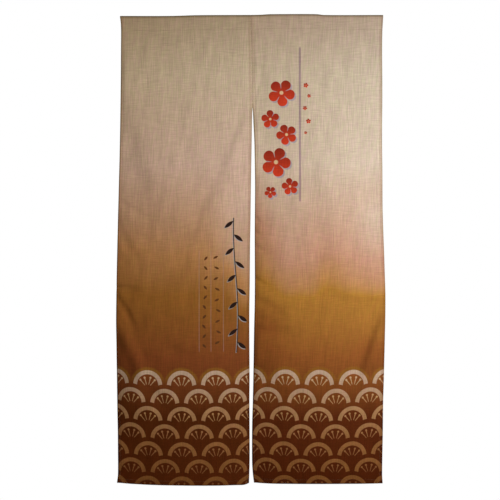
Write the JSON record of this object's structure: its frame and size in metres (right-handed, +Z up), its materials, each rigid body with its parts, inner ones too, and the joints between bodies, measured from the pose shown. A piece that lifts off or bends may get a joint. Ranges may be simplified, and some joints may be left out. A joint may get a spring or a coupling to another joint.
{
  "type": "noren curtain",
  "caption": "Split doorway curtain of printed slub cloth, sewn together at the top under a rod sleeve and parting below in a slit, as it hangs with its folds.",
  "frame": {"origin": "middle of the top edge, where the sleeve's fold bears on a rod", "axes": "+Z up the hanging cloth, +X to the right seen from the printed side, -Y out of the printed side"},
  "size_m": [0.8608, 0.0402, 1.507],
  "materials": {
    "printed_cloth": "matt slub polyester, beige fading through gold to dark brown",
    "sleeve_cloth": "matt slub polyester, beige, doubled"
  },
  "bodies": {
    "root": {"left_panel": "printed_cloth", "right_panel": "printed_cloth", "left_sleeve": "sleeve_cloth", "right_sleeve": "sleeve_cloth"}
  },
  "joints": []
}
